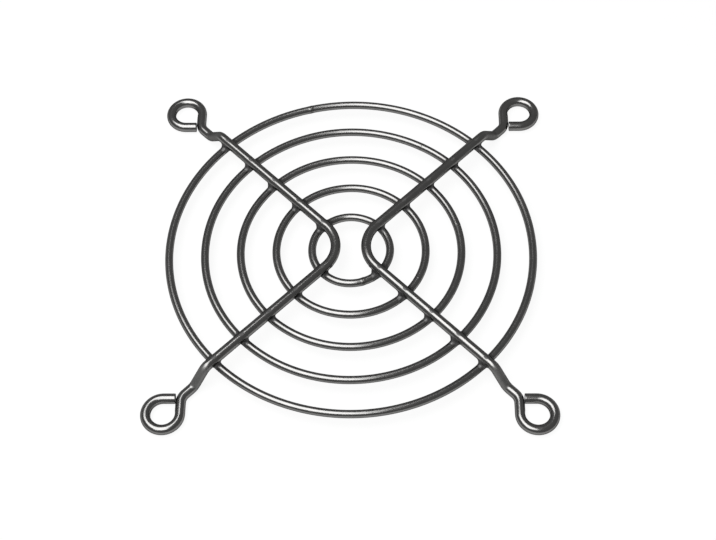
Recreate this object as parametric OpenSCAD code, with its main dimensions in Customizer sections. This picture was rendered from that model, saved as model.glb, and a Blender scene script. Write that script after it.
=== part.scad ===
// Wire fan guard. Concentric rings of thin wire are welded under two bent support wires, and
// each support wire steps down past the outer ring and ends in two open mounting eyes.
//
// The guard stands on its eyes at Z = 0, with its rings above. The origin is at the centre of
// the square of mounting holes, and X and Y run along that square's sides. The rings are
// numbered from the centre outwards. "Front" is towards -Y and "rear" towards +Y.

/* [Mounting eyes] */
// Distance between the centres of neighbouring mounting eyes
hole_pitch = 71.5; // [60:0.5:110]
// Radius of an eye, from its centre to the middle of its wire
eye_r = 3.3; // [2.9:0.1:4.5]
// Depth of the flat that the forming pin presses into the inside of an eye
pin_flat = 0.1; // [0.05:0.01:0.2]
// Gap between the cut end of an eye's wire and the eye's stem
end_gap = 0.05; // [0.05:0.05:0.6]
// Radius of the bend where a leg turns into the stem of its eye
neck_bend_r = 2.6; // [1.5:0.1:4]

/* [Support wires] */
// Diameter of a support wire
rib_d = 2; // [1.6:0.1:2.4]
// How much a bend swells the wire's radius
bend_swell = 0.01; // [0.005:0.005:0.05]
// Radius of the bend in the middle of a support wire
middle_bend_r = 6.8; // [4:0.1:12]
// Distance from the guard's centre to where the lines of a support wire's two legs cross
leg_offset = 0.25; // [0:0.05:2]

/* [Step down to the eyes] */
// Height of the rings' undersides above the mounting face
ring_lift = 2.2; // [1.5:0.05:5]
// Slope of the step
step_angle = 45; // [30:1:60]
// Radius of the two bends of the step
step_bend_r = 1.8; // [1.3:0.1:2.4]
// Length of straight wire between the step and the bend at the neck of an eye
neck_len = 1.4; // [0.4:0.1:6]

/* [Rings] */
// Number of rings
ring_count = 5; // [2:1:8]
// Diameter of the ring wire
ring_d = 1.6; // [1:0.1:2]
// Distance along a leg from the end of the middle bend to the innermost ring
inner_margin = 0.9; // [0.5:0.1:6]
// Distance along a leg from the outermost ring to the start of the step
outer_margin = 1.55; // [0.9:0.05:6]
// How far the bead of a ring's butt weld stands above its wire
bead_height = 0.05; // [0.02:0.01:0.15]
// Length of that bead along the wire
bead_len = 0.8; // [0.4:0.1:1.5]
// Angle at which the innermost ring is butt welded
bead_first_angle = -72; // [-180:1:180]
// Angle between the butt welds of one ring and the next
bead_step_angle = 44; // [0:1:90]

/* [Crossing welds] */
// How far a ring and a support wire are pressed into each other where they are welded
weld_depth = 0.3; // [0.1:0.05:0.4]
// Radius of the metal squeezed out around a crossing
flash_r = 1.25; // [1:0.05:1.4]

/* [Hidden] */
$fn = 32;
rib_r = rib_d / 2;
bent_r = rib_r + bend_swell;
ring_wire_r = ring_d / 2;
corner_angle = 45;              // every leg lies at this angle to X and Y
eye_turn = 270;                 // an eye's wire turns this far round its screw
cut_over = 1;                   // how far a cutting cylinder runs past the wire
cut_lap = 0.1;                  // how far a cut for a leg reaches back into the wire's bend

// Heights of the middles of the wires and of the crossings
ring_z = ring_lift + ring_wire_r;
rib_z = ring_lift + ring_d - weld_depth + rib_r;
eye_z = bent_r;
weld_z = ring_lift + ring_d - weld_depth / 2;

// Lengths of the straight stretches of a support wire, and where they start along a leg.
// A leg is measured from the point where the lines of its wire's two legs cross.
step_drop = rib_z - eye_z;
step_rise = step_drop - 2 * step_bend_r * (1 - cos(step_angle));
slope_len = step_rise / sin(step_angle);
step_len = 2 * step_bend_r * sin(step_angle) + slope_len * cos(step_angle);
neck_tangent = neck_bend_r * tan(corner_angle / 2);
eye_x = hole_pitch / 2;
eye_hole_r = eye_r - bent_r + pin_flat;
stem_x = eye_x - eye_r;
stem_len = eye_r + leg_offset - neck_tangent;
neck_start = (stem_x - leg_offset) / cos(corner_angle) - neck_tangent;
step_start = neck_start - neck_len - step_len;
leg_len = step_start - middle_bend_r;
end_len = eye_r - rib_r - end_gap;

// Where a point of a leg lies, and where a ring crosses it
function leg_point(s) = [leg_offset + s * cos(corner_angle), s * sin(corner_angle)];
function crossing(r) =
    let (foot = leg_offset * cos(corner_angle))
    leg_point(sqrt(r * r - foot * foot) - foot);

// Radii of the rings, spaced evenly between the two ends of the legs' straight stretch
first_ring_r = norm(leg_point(middle_bend_r + inner_margin));
last_ring_r = norm(leg_point(step_start - outer_margin));
ring_step = (last_ring_r - first_ring_r) / (ring_count - 1);
function ring_r(i) = first_ring_r + (i - 1) * ring_step;

SIDES = [["left", -1], ["right", 1]];
ENDS = [["front", -1], ["rear", 1]];
function rib_name(side) = str(side[0], "_support_wire");
function ring_name(i) = str("ring_", i);
function weld_name(i, side, end) = str("weld_", i, "_", end[0], "_", side[0]);

// A straight stretch of support wire along X. What follows it is drawn from its end.
module straight(length) {
    rotate([0, 90, 0]) cylinder(h = length, r = rib_r);
    translate([length, 0, 0]) children();
}

// An arc of support wire about the origin, from X round to an angle. Bending has swollen it.
module wire_arc(radius, angle) {
    rotate_extrude(angle = angle) translate([radius, 0]) circle(r = bent_r);
}

// A bend of support wire that starts along X and turns to the left, or to the right where
// the angle is negative. What follows it is drawn from its end.
module bend(radius, turn) {
    side = sign(turn);
    translate([0, side * radius, 0]) {
        rotate([0, 0, side > 0 ? -90 : 90 + turn]) wire_arc(radius, abs(turn));
        rotate([0, 0, turn]) translate([0, -side * radius, 0]) children();
    }
}

// Turns the wire's own plane about its direction, so that the next bend goes up or down.
module roll(angle) {
    rotate([angle, 0, 0]) children();
}

// Draws along the rear leg of a right-hand support wire, from where its two legs' lines cross.
module on_leg_line() {
    translate([leg_offset, 0, rib_z]) rotate([0, 0, corner_angle]) children();
}

// The bend in the middle of a right-hand support wire.
module middle_bend() {
    on_leg_line() translate([middle_bend_r, -middle_bend_r, 0])
        rotate([0, 0, corner_angle * 2]) wire_arc(middle_bend_r, corner_angle * 2);
}

// The rear leg of a right-hand support wire, where it runs straight over the rings. It can
// reach back into the middle bend. What follows it is drawn from the start of the step.
module leg_over_rings(lap = 0) {
    on_leg_line() translate([middle_bend_r - lap, 0, 0]) straight(leg_len + lap) children();
}

// The whole rear leg of a right-hand support wire, down to the cut end of its eye.
module leg() {
    leg_over_rings()
        roll(90) bend(step_bend_r, -step_angle)
        straight(slope_len)
        bend(step_bend_r, step_angle) roll(-90)
        straight(neck_len)
        bend(neck_bend_r, corner_angle)
        straight(stem_len)
        bend(eye_r, -eye_turn)
        straight(end_len);
}

// Draws a right-hand, rear thing at the left or right and at the front or rear.
module at_corner(side, end) {
    scale([side[1], end[1], 1]) children();
}

// One ring's wire, without its bead.
module ring_wire(i) {
    translate([0, 0, ring_z])
        rotate_extrude() translate([ring_r(i), 0]) circle(r = ring_wire_r);
}

// A support wire, bent from one length of round wire. Each ring has pressed a saddle into it,
// and the forming pin has left a flat inside each eye.
module support_wire(side) {
    color("silver") difference() {
        union() {
            at_corner(side, ENDS[0]) middle_bend();
            for (end = ENDS) at_corner(side, end) leg();
        }
        for (i = [1 : ring_count]) ring_wire(i);
        for (end = ENDS) at_corner(side, end)
            translate([eye_x, eye_x, -cut_over])
                cylinder(h = 2 * (eye_z + cut_over), r = eye_hole_r);
    }
}

// A ring, rolled from one length of thinner wire and butt welded where its ends meet.
module guard_ring(i) {
    bead_angle = bead_len / ring_r(i) * 180 / PI;
    color("gainsboro") {
        ring_wire(i);
        translate([0, 0, ring_z])
            rotate([0, 0, bead_first_angle + (i - 1) * bead_step_angle - bead_angle / 2])
            rotate_extrude(angle = bead_angle)
            translate([ring_r(i), 0]) circle(r = ring_wire_r + bead_height);
    }
}

// The metal squeezed out where a ring is resistance welded to a support wire. It fills the
// corners round the crossing and follows both wires.
module crossing_weld(i, side, end) {
    color("darkgray") at_corner(side, end) difference() {
        translate(concat(crossing(ring_r(i)), weld_z)) sphere(r = flash_r);
        ring_wire(i);
        middle_bend();
        leg_over_rings(cut_lap);
    }
}

for (side = SIDES) support_wire(side);
for (i = [1 : ring_count]) guard_ring(i);
for (i = [1 : ring_count], side = SIDES, end = ENDS)
    crossing_weld(i, side, end);
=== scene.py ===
import math

import bmesh
import bpy
import numpy as np
from mathutils import Matrix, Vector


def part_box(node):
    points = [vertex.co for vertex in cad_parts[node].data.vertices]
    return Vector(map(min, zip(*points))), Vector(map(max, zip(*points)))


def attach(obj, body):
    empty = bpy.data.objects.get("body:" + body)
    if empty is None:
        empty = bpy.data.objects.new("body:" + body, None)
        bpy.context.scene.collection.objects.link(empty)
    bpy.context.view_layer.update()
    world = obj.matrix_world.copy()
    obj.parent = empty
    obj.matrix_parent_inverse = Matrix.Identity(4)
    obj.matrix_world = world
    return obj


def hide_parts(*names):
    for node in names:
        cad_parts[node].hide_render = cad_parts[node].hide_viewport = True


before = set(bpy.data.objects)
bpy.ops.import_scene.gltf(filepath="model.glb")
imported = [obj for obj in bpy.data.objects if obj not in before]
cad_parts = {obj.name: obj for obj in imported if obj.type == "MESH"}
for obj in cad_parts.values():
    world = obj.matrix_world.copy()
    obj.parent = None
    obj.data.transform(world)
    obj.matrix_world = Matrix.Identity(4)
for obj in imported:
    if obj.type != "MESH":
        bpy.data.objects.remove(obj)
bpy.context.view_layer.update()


# ---------------------------------------------------------------------------------------
# The rings. Each is one length of 1.6 mm bright drawn steel wire, rolled round and butt
# welded where its ends meet, and it lies flat under the support wires. The whole guard is
# nickel plated and chromed after it has been welded together.
# ---------------------------------------------------------------------------------------
MM = 0.001
ring_wire_r = 0.8 * MM
ring_count = 5
ring_sides = 32
ring_step = 0.4 * MM          # length of one piece of the ring's mesh
bead_step = 0.04 * MM         # the same, close to the butt weld
bead_reach = 1.4 * MM         # how far from the butt weld the short pieces go
bead_height = 0.045 * MM
bead_half = 0.34 * MM
seam_depth = 0.05 * MM
seam_half = 0.07 * MM
end_mismatch = 0.035 * MM     # one end of the ring stands proud of the other
mismatch_fade = 3 * MM
dressed = 0.3                 # share of their butt welds that the middle three rings still show
first_bead_angle = -72.0      # degrees
bead_angle_step = 44.0
ring_wander = 0.02 * MM       # how far a ring strays from a true circle
ring_warp = 0.015 * MM        # how far it strays from a flat one
butt_heat_reach = 0.5 * MM
crossing_dull_and_shade_reach = 1.9 * MM


def fade(distance, reach):
    """1 at a place, and less and less with the distance from it, over about that reach."""
    return np.exp(-(distance / reach) ** 2)


def skin_of_wire(name, centres, sides, ups, radii, travel, weld_grey_and_shade, scuff):
    """A wire's skin round a row of centres, closed by a cap at each end.

    radii holds one radius for every centre and every direction round it. The skin keeps
    where each point lies on the wire, how much weld heat greys it and painted shade darkens
    it, and how much a tool has scuffed it there."""
    rows, around = radii.shape
    turn = np.arange(around) * 2 * math.pi / around
    out = (sides[:, None, :] * np.cos(turn)[None, :, None]
           + ups[:, None, :] * np.sin(turn)[None, :, None])
    points = (centres[:, None, :] + out * radii[:, :, None]).reshape(-1, 3)
    place = np.empty((rows, around, 3))
    place[:, :, 0] = np.cos(turn) * radii
    place[:, :, 1] = np.sin(turn) * radii
    place[:, :, 2] = travel[:, None]
    place = place.reshape(-1, 3)

    row, col = np.meshgrid(np.arange(rows - 1), np.arange(around), indexing="ij")
    here = row * around + col
    beside = row * around + (col + 1) % around
    faces = np.stack([here, beside, beside + around, here + around], -1).reshape(-1, 4).tolist()
    middles = len(points)
    points = np.vstack([points, centres[:1], centres[-1:]])
    place = np.vstack([place, [[0, 0, travel[0]]], [[0, 0, travel[-1]]]])
    last = (rows - 1) * around
    for c in range(around):
        after = (c + 1) % around
        faces.append([middles, after, c])
        faces.append([middles + 1, last + c, last + after])

    mesh = bpy.data.meshes.new(name)
    mesh.from_pydata(points.tolist(), [], faces)
    mesh.attributes.new("place_on_wire", "FLOAT_VECTOR", "POINT").data.foreach_set(
        "vector", place.ravel())
    for kind, of_row in (("weld_grey_and_painted_shade", weld_grey_and_shade), ("tool_scuff", scuff)):
        mesh.attributes.new(kind, "FLOAT", "POINT").data.foreach_set(
            "value", np.append(np.repeat(of_row, around), of_row[[0, -1]]))
    mesh.shade_smooth()
    piece = bpy.data.objects.new(name, mesh)
    bpy.context.scene.collection.objects.link(piece)
    return piece


def linear(colour):
    """An sRGB hex colour, such as "#C0C2C4", as linear red, green, blue and alpha."""
    parts = [int(colour[i:i + 2], 16) / 255 for i in (1, 3, 5)]
    return [p / 12.92 if p <= 0.04045 else ((p + 0.055) / 1.055) ** 2.4 for p in parts] + [1]


def add_node(tree, kind, settings=None, **links):
    """Adds a node, and sets its properties, and its sockets by name or number. Each link goes
    to the socket of its name, or of its number after an i."""
    node = tree.nodes.new(kind)
    for key, value in (settings or {}).items():
        if isinstance(key, str) and hasattr(node, key):
            setattr(node, key, value)
        else:
            node.inputs[key].default_value = value
    for key, source in links.items():
        socket = node.inputs[int(key[1:])] if key[1:].isdigit() else node.inputs[key]
        tree.links.new(source, socket)
    return node


# Bright nickel and chromium plate on cold drawn steel wire. The plate is thin and keeps the
# fine lines that the drawing die left along the wire, so lights show in it as bright lines
# with slightly soft, streaky edges. Where a butt weld has been hot, the plate is greyer and
# dull, and round the crossing welds it is dull and painted greyer, as painted shade where the
# wires meet. Where a bending tool has scuffed the steel, it is dull. The colours are painted
# darker than chromium's own: a painted reflection of the dark surroundings that the wires
# would reflect.
die_line_gap = 0.12 * MM
die_line_length = 9 * MM
die_line_depth = 0.006 * MM
cloud_size = 1.6 * MM
heat_dulls = 0.16             # how much rougher weld heat has made the plate
scuff_dulls = 0.34            # how much rougher the tool has made it

chrome = bpy.data.materials.new("bright_chrome_plate_on_drawn_wire")
chrome.use_nodes = True
tree = chrome.node_tree
tree.nodes.clear()
plate = add_node(tree, "ShaderNodeBsdfPrincipled", {
    "Metallic": 1.0, "Specular Tint": linear("#5A5A5A")})
add_node(tree, "ShaderNodeOutputMaterial", i0=plate.outputs["BSDF"])
place_there = add_node(tree, "ShaderNodeAttribute", {"attribute_name": "place_on_wire"})
grey_and_shade_there = add_node(tree, "ShaderNodeAttribute", {"attribute_name": "weld_grey_and_painted_shade"})
scuff_there = add_node(tree, "ShaderNodeAttribute", {"attribute_name": "tool_scuff"})
# Die lines are a few hundredths of a millimetre apart and centimetres long. They are drawn
# 0.12 mm apart, because finer ones don't show.
stretched = add_node(tree, "ShaderNodeMapping", {
    "Scale": (1 / die_line_gap, 1 / die_line_gap, 1 / die_line_length)},
    i0=place_there.outputs["Vector"])
die_lines = add_node(tree, "ShaderNodeTexNoise", {
    "Scale": 1.0, "Detail": 3.0, "Roughness": 0.6}, i0=stretched.outputs["Vector"])
# The plate grows a little thicker and thinner over about 2 mm
clouded = add_node(tree, "ShaderNodeMapping", {
    "Scale": (1 / cloud_size,) * 3}, i0=place_there.outputs["Vector"])
clouds = add_node(tree, "ShaderNodeTexNoise", {
    "Scale": 1.0, "Detail": 4.0, "Roughness": 0.55}, i0=clouded.outputs["Vector"])
# The plate's tone varies between the two colours with its thickness. Both are painted darker
# than chromium's, as a painted reflection of dark surroundings
plate_tone_and_painted_reflection = add_node(tree, "ShaderNodeValToRGB", i0=clouds.outputs["Fac"])
for stop, position, colour in zip(plate_tone_and_painted_reflection.color_ramp.elements, (0.3, 0.7),
                                  ("#767675", "#7E7D7C")):
    stop.position = position
    stop.color = linear(colour)
# The colour goes greyer where the weld attribute is high: at the butt welds as a weld mark, and
# round the crossings as painted shade
greyed_and_shaded_colour = add_node(tree, "ShaderNodeMix", {
    "data_type": "RGBA", 7: linear("#5E5D5B")},
    i0=grey_and_shade_there.outputs["Fac"], i6=plate_tone_and_painted_reflection.outputs["Color"])
tree.links.new(greyed_and_shaded_colour.outputs[2], plate.inputs["Base Color"])
streaks = add_node(tree, "ShaderNodeMapRange", {
    "From Min": 0.3, "From Max": 0.7, "To Min": 0.15, "To Max": 0.24},
    i0=die_lines.outputs["Fac"])
dulled = add_node(tree, "ShaderNodeMath", {
    "operation": "MULTIPLY_ADD", 1: heat_dulls},
    i0=grey_and_shade_there.outputs["Fac"], i2=streaks.outputs["Result"])
scuffed = add_node(tree, "ShaderNodeMath", {
    "operation": "MULTIPLY_ADD", 1: scuff_dulls},
    i0=scuff_there.outputs["Fac"], i2=dulled.outputs["Value"])
tree.links.new(scuffed.outputs["Value"], plate.inputs["Roughness"])
grooves = add_node(tree, "ShaderNodeBump", {
    "Strength": 0.35, "Distance": die_line_depth}, Height=die_lines.outputs["Fac"])
tree.links.new(grooves.outputs["Normal"], plate.inputs["Normal"])

for number in range(1, ring_count + 1):
    node = f"ring_{number}"
    low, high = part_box(node)
    ring_r = (high.x - low.x) / 2 - ring_wire_r
    ring_z = (high.z + low.z) / 2
    length = 2 * math.pi * ring_r
    # Short pieces at both ends of the wire, where it is butt welded, and long ones between
    close = np.arange(0, bead_reach, bead_step)
    between = np.linspace(close[-1], length - close[-1], int(length / ring_step))
    travel = np.concatenate([close[:-1], between, (length - close[:-1])[::-1]])
    from_weld = np.minimum(travel, length - travel)
    angle = math.radians(first_bead_angle + (number - 1) * bead_angle_step) + travel / ring_r
    # Rolled rings are never quite true: they wander by a few hundredths of a millimetre
    wander = ring_wander * (np.sin(3 * angle + number) + 0.6 * np.sin(7 * angle + 2.1 * number))
    warp = ring_warp * np.sin(5 * angle + 1.3 * number)
    # The butt welds of the outermost and the innermost ring show more than the others
    shown = 1.0 if number in (1, ring_count) else dressed
    swell = shown * (bead_height * fade(from_weld, bead_half)
                     - seam_depth * fade(from_weld, seam_half))
    proud = shown * end_mismatch * np.exp(-travel / mismatch_fade) * (travel < length / 2)
    # Heat from the butt weld has greyed the plate. Round the four crossings the plate is
    # duller, and painted greyer as painted shade where the wires meet
    from_crossing = np.abs((np.degrees(angle) % 90) - 45) * math.pi / 180 * ring_r
    weld_grey_and_shade = np.maximum(0.8 * shown * fade(from_weld, butt_heat_reach),
                      0.7 * fade(from_crossing, crossing_dull_and_shade_reach))
    sides = np.stack([np.cos(angle), np.sin(angle), 0 * angle], -1)
    ups = np.tile([0.0, 0.0, 1.0], (len(travel), 1))
    centres = sides * (ring_r + wander - proud)[:, None] + ups * (ring_z + warp)[:, None]
    radii = np.repeat((ring_wire_r + swell)[:, None], ring_sides, axis=1)
    ring = skin_of_wire(f"ring_wire_{number}", centres, sides, ups, radii, travel, weld_grey_and_shade,
                        0 * travel)
    ring.data.materials.append(chrome)
    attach(ring, "root")
    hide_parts(node)


# ---------------------------------------------------------------------------------------
# The two support wires. Each is one length of 2 mm drawn steel wire, bent in the middle,
# run out over the rings, stepped down past the outer ring and curled round a pin into an
# open eye at both ends. The ends are cropped by a shear, and plated with the rest.
# ---------------------------------------------------------------------------------------
hole_pitch = 71.5 * MM
wire_r = 1.0 * MM
bend_swell = 0.01 * MM        # the solids' bends are this much thicker, and set their height
leg_offset = 0.25 * MM
middle_bend_r = 6.8 * MM
leg_len = 31.278 * MM
step_bend_r = 1.8 * MM
slope_len = 3.444 * MM
neck_len = 1.4 * MM
neck_bend_r = 2.6 * MM
eye_r = 3.3 * MM
stem_len = 2.473 * MM
end_len = 2.25 * MM
pin_r = 2.39 * MM             # the pin has left a flat inside each eye
easing = 0.35 * MM            # a bend starts and ends gently over this length
electrode_flat = 0.02 * MM    # how deep the welding electrode has pressed the wire's top
electrode_reach = 0.8 * MM
scuff_run = 1 * MM            # over this length the step's scuff sets in
edge_r = 0.07 * MM            # rounding of the edge of a cropped end
wire_sides = 48
fine = 0.01 * MM              # step of the walk along the wire
wire_step = 0.2 * MM          # length of one piece of its mesh


def eased(values, width):
    """Spreads a row of values over a width, twice, so that they rise and fall gently."""
    window = np.ones(int(round(width / fine)) // 2 * 2 + 1)
    window /= len(window)
    for _ in range(2):
        padded = np.pad(values, len(window) // 2, mode="reflect", reflect_type="odd")
        values = np.convolve(padded, window, mode="valid")
    return values


# The rear half of the right-hand wire, as a bending machine makes it: feed so much wire, with
# so much turn to the left (or right, if less than zero) and so much upward
quarter = math.pi / 4
moves = [
    (middle_bend_r * quarter, -quarter, 0),
    (leg_len, 0, 0),
    (step_bend_r * quarter, 0, -quarter),
    (slope_len, 0, 0),
    (step_bend_r * quarter, 0, quarter),
    (neck_len, 0, 0),
    (neck_bend_r * quarter, quarter, 0),
    (stem_len, 0, 0),
    (eye_r * quarter * 6, -quarter * 6, 0),
    (end_len, 0, 0),
]
fed, turned, raised = (np.cumsum([0.0] + list(column)) for column in zip(*moves))
feed = fed[-1]
step_start, step_end = fed[2], fed[5]
count = int(round(feed / fine))
walked = (np.arange(count) + 0.5) * feed / count
heading = eased(np.interp(walked, fed, math.pi / 2 + turned), easing)
pitch = eased(np.interp(walked, fed, raised), easing)
course = np.stack([np.cos(pitch) * np.cos(heading), np.cos(pitch) * np.sin(heading),
                   np.sin(pitch)], -1)
rib_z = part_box("right_support_wire")[1].z - wire_r - bend_swell
walk_start = np.array([leg_offset + (math.sqrt(2) - 1) * middle_bend_r, 0, rib_z])
half = walk_start + np.vstack([[[0, 0, 0]], np.cumsum(course, axis=0)]) * feed / count
half_travel = np.arange(count + 1) * feed / count

# Mesh rows along that half: even ones, closer ones round the edge of the cropped end, and two
# on its flat
rounding = edge_r * np.cos(np.linspace(0, math.pi / 2, 8))[::-1]
rows_travel = np.concatenate([np.arange(0, feed - edge_r, wire_step),
                              feed - edge_r + rounding[1:]])
into_edge = np.clip(rows_travel - (feed - edge_r), 0, edge_r) / edge_r
rows_r = wire_r - edge_r * (1 - np.sqrt(np.clip(1 - into_edge ** 2, 0, 1)))
flat_shares = (0.9, 0.4)
rows_travel = np.append(rows_travel, [feed for _ in flat_shares])
rows_r = np.append(rows_r, [(wire_r - edge_r) * share for share in flat_shares])
rows = np.stack([np.interp(rows_travel, half_travel, half[:, k]) for k in range(3)], -1)
rows_course = np.stack([np.interp(rows_travel, (half_travel[1:] + half_travel[:-1]) / 2,
                                  course[:, k]) for k in range(3)], -1)

# Where the rings cross the legs
ring_radii = []
for number in range(1, ring_count + 1):
    low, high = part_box(f"ring_{number}")
    ring_radii.append((high.x - low.x) / 2 - ring_wire_r)
foot = leg_offset * math.cos(quarter)
along_leg = [math.sqrt(r * r - foot * foot) - foot for r in ring_radii]
crossing_travel = [s - middle_bend_r + middle_bend_r * quarter for s in along_leg]

for side, sign in (("left", -1), ("right", 1)):
    rear = rows * [sign, 1, 1]
    front = (rear * [1, -1, 1])[::-1]
    centres = np.vstack([front[:-1], rear])
    rear_course = rows_course * [sign, 1, 1]
    front_course = (rear_course * [-1, 1, -1])[::-1]
    towards = np.vstack([front_course[:-1], rear_course])
    travel = np.concatenate([-rows_travel[::-1][:-1], rows_travel])
    base_r = np.concatenate([rows_r[::-1][:-1], rows_r])
    sides = np.cross([0, 0, 1], towards)
    sides /= np.linalg.norm(sides, axis=1)[:, None]
    ups = np.cross(towards, sides)
    ups /= np.linalg.norm(ups, axis=1)[:, None]
    turn = np.arange(wire_sides) * 2 * math.pi / wire_sides
    radii = np.repeat(base_r[:, None], wire_sides, axis=1)
    weld_grey_and_shade = np.zeros(len(travel))
    for crossing in crossing_travel:
        # The welding electrode has pressed a faint flat on top of the wire, and dulled it. The
        # wire is painted greyer there too, as painted shade where the ring meets it
        near = fade(np.abs(travel) - crossing, electrode_reach)
        radii -= electrode_flat * near[:, None] * (np.clip(np.sin(turn), 0, 1) ** 8)[None, :]
        weld_grey_and_shade = np.maximum(weld_grey_and_shade, 0.25 * near)
    for end in (-1, 1):
        # The pin has pressed a flat inside the eye
        eye_axis = np.array([sign * hole_pitch / 2, end * hole_pitch / 2, 0])
        to_axis = eye_axis - centres * [1, 1, 0]
        across = np.sum(to_axis * sides, axis=1)
        ahead = np.sum(to_axis * towards, axis=1)
        room = np.abs(across) - np.sqrt(np.clip(pin_r ** 2 - ahead ** 2, 0, None))
        facing = np.sign(across)[:, None] * np.cos(turn)[None, :]
        close = (np.linalg.norm(to_axis, axis=1) < 2 * eye_r) & (np.abs(ahead) < pin_r)
        limit = np.where(facing > 0.3, room[:, None] / np.maximum(facing, 0.3), np.inf)
        radii = np.where(close[:, None], np.minimum(radii, limit), radii)
    # The step is dull all round, as where forming dies have scuffed the wire
    scuff = (np.clip((np.abs(travel) - step_start) / scuff_run, 0, 1)
             * np.clip((step_end - np.abs(travel)) / scuff_run, 0, 1))
    wire = skin_of_wire(f"support_wire_{side}", centres, sides, ups, radii, travel, weld_grey_and_shade, scuff)
    wire.data.materials.append(chrome)
    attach(wire, "root")
    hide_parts(f"{side}_support_wire")


# ---------------------------------------------------------------------------------------
# The crossing welds. Each ring is resistance welded to each leg of the support wires: the
# two wires sink into each other, and the steel squeezed out between them sets as a collar
# that fills the corners. It is plated with the rest, but stays a little rough, and it is
# coloured grey as painted shade in those corners.
# ---------------------------------------------------------------------------------------
weld_depth = 0.3 * MM
collar_reach = 2.4 * MM       # no collar goes further than this from its middle
collar_steps = 180            # places along that reach where its skin is looked for
disc_melt = 0.3 * MM          # how widely the squeezed-out disc melts into the corners
skin_gap = 0.012 * MM         # the collar runs out this far under the skins of the wires
unevenness = 0.012 * MM

# Resistance-weld flash under nickel and chromium plate: the plate follows a cast, pebbled
# skin, so it shines in small broken glints. It is coloured greyer than the wires, as painted
# shade in the corners where the wires meet.
pebble_size = 0.3 * MM
pebble_depth = 0.03 * MM

flash = bpy.data.materials.new("plated_weld_flash")
flash.use_nodes = True
tree = flash.node_tree
tree.nodes.clear()
plate = add_node(tree, "ShaderNodeBsdfPrincipled", {
    "Metallic": 1.0, "Specular Tint": linear("#5A5A5A")})
add_node(tree, "ShaderNodeOutputMaterial", i0=plate.outputs["BSDF"])
where = add_node(tree, "ShaderNodeTexCoord")
# The pebbles are 0.15 to 0.3 mm across
pebbled = add_node(tree, "ShaderNodeMapping", {
    "Scale": (1 / pebble_size,) * 3}, i0=where.outputs["Object"])
pebbles = add_node(tree, "ShaderNodeTexNoise", {
    "Scale": 1.0, "Detail": 2.0, "Roughness": 0.5}, i0=pebbled.outputs["Vector"])
# Both grey colours are painted shade in the corners between the wires; the pebbles vary the
# tone at random
grey = add_node(tree, "ShaderNodeValToRGB", i0=pebbles.outputs["Fac"])
for stop, position, colour in zip(grey.color_ramp.elements, (0.3, 0.7), ("#525151", "#666666")):
    stop.position = position
    stop.color = linear(colour)
tree.links.new(grey.outputs["Color"], plate.inputs["Base Color"])
dull = add_node(tree, "ShaderNodeMapRange", {
    "From Min": 0.3, "From Max": 0.7, "To Min": 0.6, "To Max": 0.46},
    i0=pebbles.outputs["Fac"])
tree.links.new(dull.outputs["Result"], plate.inputs["Roughness"])
lumps = add_node(tree, "ShaderNodeBump", {
    "Strength": 0.5, "Distance": pebble_depth}, Height=pebbles.outputs["Fac"])
tree.links.new(lumps.outputs["Normal"], plate.inputs["Normal"])

# A collar is a ball whose points are moved in or out along these directions
ball = bpy.data.meshes.new("directions")
shell = bmesh.new()
bmesh.ops.create_icosphere(shell, subdivisions=5, radius=1)
shell.to_mesh(ball)
shell.free()
directions = np.empty(len(ball.vertices) * 3)
ball.vertices.foreach_get("co", directions)
directions = directions.reshape(-1, 3)
directions /= np.linalg.norm(directions, axis=1)[:, None]


def melt(a, b, width):
    """The nearer of two distances, rounded over where they are alike, and by how much."""
    mixed = np.clip(width - np.abs(a - b), 0, None) / width
    return np.minimum(a, b) - mixed ** 2 * width / 4, mixed


def collar_points(middle, ring_r, ring_z, fullness, chance):
    """The points of one collar's skin: where the leg, the ring and the disc of metal that was
    squeezed out between them, all melted together, end in each of the directions."""
    corner_width = fullness * chance.uniform(1.1, 1.4) * MM
    disc_r = fullness * chance.uniform(1.2, 1.4) * MM
    disc_half = chance.uniform(0.45, 0.58) * MM
    slip = chance.uniform(-0.12, 0.12, 2) * MM
    phase = chance.uniform(0, 2 * math.pi, 3)
    reach = np.linspace(0.1 * MM, collar_reach, collar_steps)
    p = middle + directions[:, None, :] * reach[None, :, None]
    x, y, z = np.abs(p[..., 0]), np.abs(p[..., 1]), p[..., 2]
    off_line = (x - leg_offset) * math.sin(quarter) - y * math.cos(quarter)
    to_wire = np.hypot(off_line, z - rib_z) - wire_r
    to_ring = np.hypot(np.hypot(x, y) - ring_r, z - ring_z) - ring_wire_r
    from_middle = np.hypot(p[..., 0] - middle[0] - slip[0], p[..., 1] - middle[1] - slip[1])
    to_disc = (np.hypot(from_middle / disc_r, (z - middle[2]) / disc_half) - 1) * disc_half
    both, mixed = melt(to_wire, to_ring, corner_width)
    skin, joined = melt(both, to_disc, disc_melt)
    uneven = sum(np.sin(directions @ np.roll([5.0, 3.0, 4.0], k) + phase[k])
                 for k in range(3))
    skin = skin + skin_gap - unevenness * uneven[:, None] * np.maximum(mixed, joined)
    # Along each direction, the skin lies between the last place inside and the first outside
    out = skin > 0
    ends = out.any(axis=1)
    first = np.where(ends, np.argmax(out, axis=1), collar_steps - 1)
    before = np.maximum(first - 1, 0)
    every = np.arange(len(first))
    inner, outer = skin[every, before], skin[every, first]
    rise = np.where(outer == inner, 1, outer - inner)
    share = np.where(ends & (first > 0), -inner / rise, 1.0)
    distance = reach[before] + np.clip(share, 0, 1) * (reach[first] - reach[before])
    return middle + directions * distance[:, None]


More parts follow.
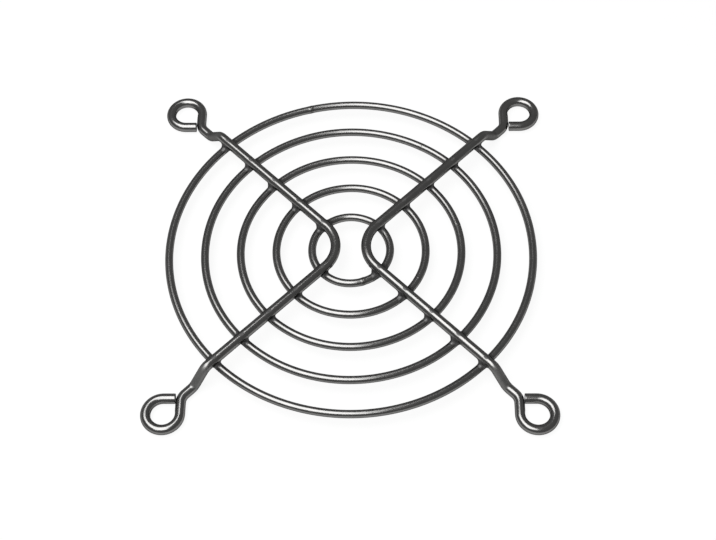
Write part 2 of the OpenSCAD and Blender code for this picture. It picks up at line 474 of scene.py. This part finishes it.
for number, ring_r, s in zip(range(1, ring_count + 1), ring_radii, along_leg):
    low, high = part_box(f"ring_{number}")
    ring_z = (low.z + high.z) / 2
    weld_z = ring_z + ring_wire_r - weld_depth / 2
    for side, sx in (("left", -1), ("right", 1)):
        for end, sy in (("front", -1), ("rear", 1)):
            middle = np.array([sx * (leg_offset + s * math.cos(quarter)),
                               sy * s * math.sin(quarter), weld_z])
            # The left rear and the right front leg have fuller collars than the other two
            fullness = 1.0 if sx * sy < 0 else 0.75
            chance = np.random.default_rng(number * 10 + sx * 2 + sy + 5)
            collar_mesh = ball.copy()
            collar_mesh.name = f"weld_collar_{number}_{end}_{side}"
            collar_mesh.vertices.foreach_set(
                "co", collar_points(middle, ring_r, ring_z, fullness, chance).ravel())
            collar_mesh.shade_smooth()
            collar = bpy.data.objects.new(collar_mesh.name, collar_mesh)
            bpy.context.scene.collection.objects.link(collar)
            collar.data.materials.append(flash)
            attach(collar, "root")
            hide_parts(f"weld_{number}_{end}_{side}")
bpy.data.meshes.remove(ball)


# ---------------------------------------------------------------------------------------
# The stage: a plain white paper floor that the guard stands on with its four eyes.
# ---------------------------------------------------------------------------------------
floor_half = 4.0              # metres
floor_corners = [(x * floor_half, y * floor_half, 0)
                 for x, y in ((-1, -1), (1, -1), (1, 1), (-1, 1))]
floor_mesh = bpy.data.meshes.new("floor")
floor_mesh.from_pydata(floor_corners, [], [(0, 1, 2, 3)])
floor = bpy.data.objects.new("floor", floor_mesh)
bpy.context.scene.collection.objects.link(floor)
# Matt white paper. What looks at it straight or in a reflection sees it white, with a faint
# shadow under the guard.
paper = bpy.data.materials.new("matt_white_paper")
paper.use_nodes = True
tree = paper.node_tree
tree.nodes.clear()
lit = add_node(tree, "ShaderNodeBsdfDiffuse", {"Color": linear("#E8E8E8")})
faint = add_node(tree, "ShaderNodeBsdfDiffuse", {"Color": linear("#5A5A5A")})
glow = add_node(tree, "ShaderNodeEmission", {"Color": linear("#FFFFFF"), "Strength": 0.9})
white = add_node(tree, "ShaderNodeAddShader",
                 i0=faint.outputs["BSDF"], i1=glow.outputs["Emission"])
ray = add_node(tree, "ShaderNodeLightPath")
seen = add_node(tree, "ShaderNodeMath", {"operation": "MAXIMUM"},
                i0=ray.outputs["Is Camera Ray"], i1=ray.outputs["Is Glossy Ray"])
seen_too = add_node(tree, "ShaderNodeMath", {"operation": "MAXIMUM"},
                    i0=seen.outputs["Value"], i1=ray.outputs["Is Transmission Ray"])
paper_look = add_node(tree, "ShaderNodeMixShader", i0=seen_too.outputs["Value"],
                      i1=lit.outputs["BSDF"], i2=white.outputs["Shader"])
add_node(tree, "ShaderNodeOutputMaterial", i0=paper_look.outputs["Shader"])
floor_mesh.materials.append(paper)


# ---------------------------------------------------------------------------------------
# The light: one wide soft panel overhead, mostly to the left, in a dim grey room.
# ---------------------------------------------------------------------------------------
panel_width, panel_length, panel_height = 0.45, 0.70, 0.6      # metres
panel_radiance = 4.9
room_light = 0.25
panel = bpy.data.lights.new("soft_panel", "AREA")
panel.shape = "RECTANGLE"
panel.size = panel_width
panel.size_y = panel_length
panel.energy = panel_radiance * math.pi * panel_width * panel_length
lamp = bpy.data.objects.new("soft_panel", panel)
lamp.location = (-0.19, -0.08, panel_height)
lamp.rotation_euler = (0, 0, math.radians(8))
bpy.context.scene.collection.objects.link(lamp)
room = bpy.data.worlds.new("dim_room")
bpy.context.scene.world = room
room.use_nodes = True
room.node_tree.nodes["Background"].inputs["Color"].default_value = linear("#FFFFFF")
room.node_tree.nodes["Background"].inputs["Strength"].default_value = room_light


# ---------------------------------------------------------------------------------------
# The camera looks down on the guard from the front, with a long lens.
# ---------------------------------------------------------------------------------------
azimuth, elevation, roll = (math.radians(a) for a in (1.958, 58.105, -1.782))
camera_distance = 0.30577     # metres
back = np.array([math.sin(azimuth) * math.cos(elevation),
                 -math.cos(azimuth) * math.cos(elevation), math.sin(elevation)])
level = np.array([math.cos(azimuth), math.sin(azimuth), 0])
upright = np.cross(back, level)
right = math.cos(roll) * level + math.sin(roll) * upright
up = math.cos(roll) * upright - math.sin(roll) * level
view = bpy.data.cameras.new("camera")
view.sensor_width = 36
view.lens = 75.44
view.shift_x = 0.00947
view.shift_y = -0.01719
view.clip_start = 0.01
view.clip_end = 20
camera = bpy.data.objects.new("camera", view)
facing = Matrix(np.column_stack([right, up, back]).tolist()).to_4x4()
facing.translation = (back * camera_distance).tolist()
camera.matrix_world = facing
bpy.context.scene.collection.objects.link(camera)
bpy.context.scene.camera = camera
bpy.context.scene.view_settings.view_transform = "Standard"
